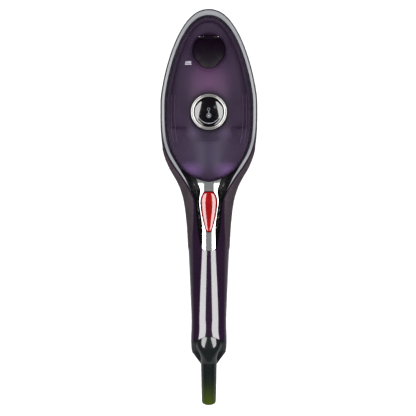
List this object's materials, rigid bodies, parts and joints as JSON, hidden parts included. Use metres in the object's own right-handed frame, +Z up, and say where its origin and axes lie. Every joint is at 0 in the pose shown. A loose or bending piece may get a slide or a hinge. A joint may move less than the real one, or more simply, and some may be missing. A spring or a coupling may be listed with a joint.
{
  "type": "handheld garment steamer",
  "caption": "Handheld garment steamer with a hot soleplate, see-through water tank, turning dial, filler flap, sprung steam button and slim handle.",
  "frame": {"origin": "on the ironing face of the soleplate, under the axis of the temperature dial", "axes": "+Y along the handle towards the nose, +Z up, away from the ironing face, +X to the right seen from above with the nose forward"},
  "size_m": [0.09, 0.3672, 0.0616],
  "materials": {
    "sole_metal": "brushed ironing face with polished edge",
    "heater_tube": "heat-stained steel",
    "silicone": "matt red-brown silicone",
    "cast_alloy": "as cast",
    "shield_plastic": "matt heat-proof plastic",
    "thermostat_metal": "plated",
    "lower_plastic": "fine-grained satin",
    "handle_plastic": "glossy dark purple with dotted grips",
    "silver_trim": "polished silver",
    "tray_plastic": "clear smoky violet",
    "soft_seal": "matt black",
    "tank_plastic": "see-through violet",
    "flap_plastic": "near-black violet, satin",
    "steel": "bright",
    "bright_chrome": "mirror chrome",
    "black_gloss": "piano black",
    "brass_stem": "turned",
    "black_satin": "satin black",
    "red_gloss": "glossy red",
    "pump_plastic": "natural white",
    "hose_silicone": "milky",
    "guard_rubber": "smooth black",
    "terminal_plastic": "ivory",
    "live_sleeve": "brown sleeve",
    "neutral_sleeve": "blue sleeve"
  },
  "bodies": {
    "housing": {"soleplate": "sole_metal", "heating_element": "heater_tube", "chamber_seal": "silicone", "steam_chamber_cover": "cast_alloy", "heat_shield": "shield_plastic", "thermostat": "thermostat_metal", "thermal_fuse": "thermostat_metal", "lower_housing": "lower_plastic", "upper_housing": "handle_plastic", "trim_band": "silver_trim", "water_tray": "tray_plastic", "well_seal": "silicone", "tank_gasket": "soft_seal", "tank_cover": "tank_plastic", "outlet_valve": "silicone", "lid_pin": "steel", "neck_insert": "black_satin", "trigger_bezel": "silver_trim", "button_pin": "steel", "pump_body": "pump_plastic", "pump_spring": "steel", "inlet_hose": "hose_silicone", "outlet_hose": "hose_silicone", "end_cap": "black_gloss", "cord_guard": "guard_rubber", "cord_clamp": "shield_plastic", "terminal_block": "terminal_plastic", "live_wire": "live_sleeve", "neutral_wire": "neutral_sleeve", "housing_screws": "steel", "sole_screws": "steel"},
    "knob": {"knob_ring": "bright_chrome", "knob_face": "black_gloss", "knob_stem": "brass_stem"},
    "lid": {"filler_lid": "flap_plastic", "filler_seal": "soft_seal"},
    "button": {"steam_button": "red_gloss"},
    "plunger": {"pump_plunger": "pump_plastic"}
  },
  "joints": [
    {"name": "knob_turn", "type": "hinge", "parent": "housing", "child": "knob", "pos_m": [0, 0, 0.055], "axis": [0, 0, 1], "range_deg": [-110, 110]},
    {"name": "lid_open", "type": "hinge", "parent": "housing", "child": "lid", "pos_m": [0, 0.06956, 0.04958], "axis": [-1, 0, 0], "range_deg": [0, 95]},
    {"name": "button_press", "type": "hinge", "parent": "housing", "child": "button", "pos_m": [0, -0.106, 0.05262], "axis": [-1, 0, 0], "range_deg": [0, 7], "stiffness_Nm_per_rad": 1.2, "springref_deg": -3.44},
    {"name": "pump_stroke", "type": "slide", "parent": "housing", "child": "plunger", "axis": [0, 0, -1], "range_m": [0, 0.0028], "deforming": ["pump_spring"]}
  ],
  "couplings": [
    {"joint": "pump_stroke", "follows": "button_press", "m_per_rad": 0.022}
  ]
}
